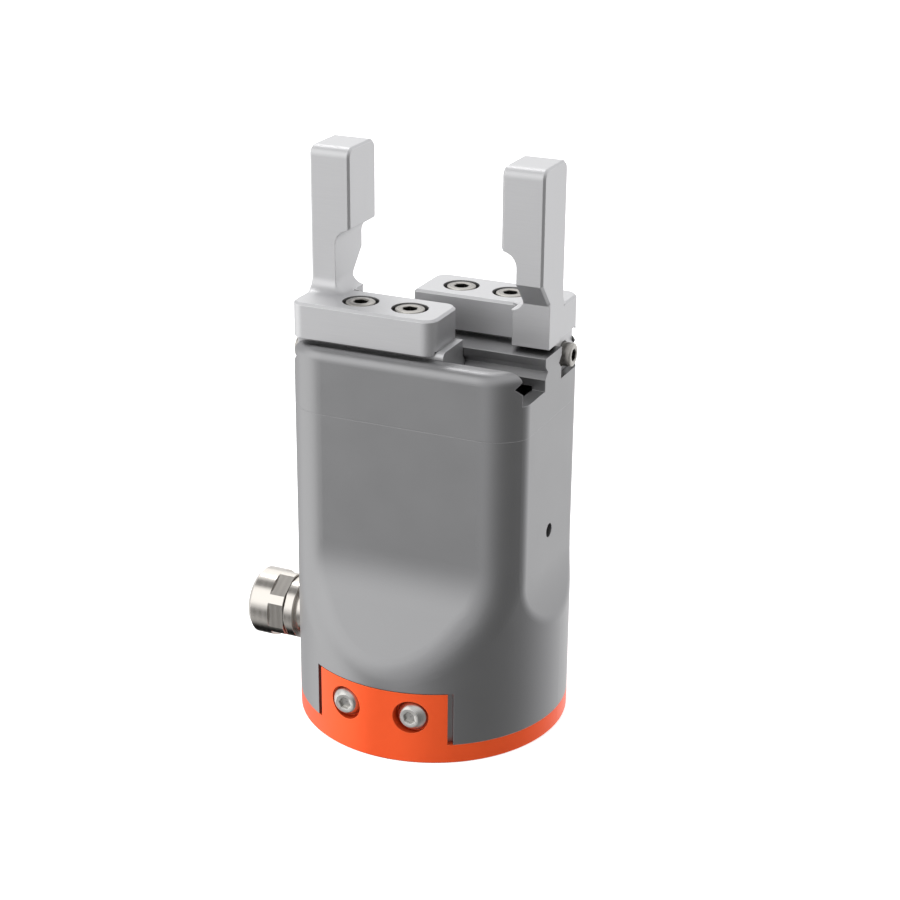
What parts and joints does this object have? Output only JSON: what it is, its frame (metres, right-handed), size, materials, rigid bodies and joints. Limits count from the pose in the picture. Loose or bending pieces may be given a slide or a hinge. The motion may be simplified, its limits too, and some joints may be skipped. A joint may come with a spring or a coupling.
{
  "type": "electric parallel gripper",
  "caption": "Electric parallel gripper for a robot wrist: two jaws slide in V guides on racks driven by a pinion, gearbox and motor inside a slim body on an orange flange.",
  "frame": {"origin": "centre of the base underside, on the tool flange axis", "axes": "+Z from the flange to the fingers, +X along the jaw travel, -Y the front with the plain panel"},
  "size_m": [0.0783, 0.063, 0.1319],
  "materials": {
    "orange_anodised": "orange anodised, satin",
    "body_anodised": "bead blasted and clear anodised",
    "jaw_aluminium": "fine machined, clear anodised",
    "screw_steel": "stainless, bright",
    "gear_steel": "hardened and ground",
    "bearing_steel": "polished",
    "case_steel": "turned",
    "stator_iron": "stamped sheets",
    "copper_wire": "enamelled copper",
    "magnet": "nickel plated magnet",
    "circuit_board": "solder mask",
    "chip_plastic": "moulded",
    "nickel_brass": "nickel plated",
    "red_rubber": "moulded",
    "black_plastic": "moulded",
    "gold_contacts": "gold plated"
  },
  "bodies": {
    "base": {"mounting_base": "orange_anodised", "tab_screws": "screw_steel", "lower_housing": "body_anodised", "head_block": "body_anodised", "head_screws": "screw_steel", "gearbox_case": "case_steel", "ring_gear": "gear_steel", "bearing_outer_rings": "bearing_steel", "motor_case": "case_steel", "motor_cap": "case_steel", "motor_stator": "stator_iron", "motor_windings": "copper_wire", "encoder_board": "circuit_board", "encoder_chip": "chip_plastic", "encoder_standoffs": "nickel_brass", "encoder_nuts": "screw_steel", "driver_board": "circuit_board", "driver_spacers": "nickel_brass", "driver_screws": "screw_steel", "driver_parts": "chip_plastic", "connector_shell": "nickel_brass", "connector_barrel": "nickel_brass", "connector_gasket": "red_rubber", "connector_insert": "black_plastic", "connector_pins": "gold_contacts", "connector_nut": "nickel_brass"},
    "front_jaw": {"front_slider": "jaw_aluminium", "front_finger": "jaw_aluminium", "front_rack": "gear_steel", "front_rack_screws": "screw_steel", "front_jaw_screws": "screw_steel", "front_end_screw": "screw_steel"},
    "rear_jaw": {"rear_slider": "jaw_aluminium", "rear_finger": "jaw_aluminium", "rear_rack": "gear_steel", "rear_rack_screws": "screw_steel", "rear_jaw_screws": "screw_steel", "rear_end_screw": "screw_steel"},
    "output": {"pinion": "gear_steel", "carrier_shaft": "gear_steel", "output_inner_rings": "bearing_steel"},
    "motor_rotor": {"motor_rotor": "magnet", "motor_shaft": "gear_steel", "sun_gear": "gear_steel", "motor_inner_rings": "bearing_steel", "encoder_magnet": "magnet"},
    "planet_1": {"planet_gear_1": "gear_steel"},
    "planet_2": {"planet_gear_2": "gear_steel"},
    "planet_3": {"planet_gear_3": "gear_steel"}
  },
  "joints": [
    {"name": "front_jaw_slide", "type": "slide", "parent": "base", "child": "front_jaw", "axis": [1, 0, 0], "range_m": [0, 0.0177]},
    {"name": "rear_jaw_slide", "type": "slide", "parent": "base", "child": "rear_jaw", "axis": [-1, 0, 0], "range_m": [0, 0.0177]},
    {"name": "pinion_spin", "type": "hinge", "parent": "base", "child": "output", "pos_m": [0, 0, 0.081], "axis": [0, 0, 1], "range_deg": [0, 126.82]},
    {"name": "motor_spin", "type": "hinge", "parent": "base", "child": "motor_rotor", "pos_m": [0, 0, 0.04], "axis": [0, 0, 1], "range_deg": [0, 633.88]},
    {"name": "planet_1_spin", "type": "hinge", "parent": "output", "child": "planet_1", "pos_m": [0.0075, 0, 0.0591], "axis": [0, 0, -1], "range_deg": [0, 338.1]},
    {"name": "planet_2_spin", "type": "hinge", "parent": "output", "child": "planet_2", "pos_m": [-0.00375, 0.0065, 0.0591], "axis": [0, 0, -1], "range_deg": [0, 338.1]},
    {"name": "planet_3_spin", "type": "hinge", "parent": "output", "child": "planet_3", "pos_m": [-0.00375, -0.0065, 0.0591], "axis": [0, 0, -1], "range_deg": [0, 338.1]}
  ],
  "couplings": [
    {"joint": "rear_jaw_slide", "follows": "front_jaw_slide", "ratio": 1},
    {"joint": "pinion_spin", "follows": "front_jaw_slide", "rad_per_m": 125},
    {"joint": "motor_spin", "follows": "front_jaw_slide", "rad_per_m": 625},
    {"joint": "planet_1_spin", "follows": "front_jaw_slide", "rad_per_m": 333.33},
    {"joint": "planet_2_spin", "follows": "front_jaw_slide", "rad_per_m": 333.33},
    {"joint": "planet_3_spin", "follows": "front_jaw_slide", "rad_per_m": 333.33}
  ]
}
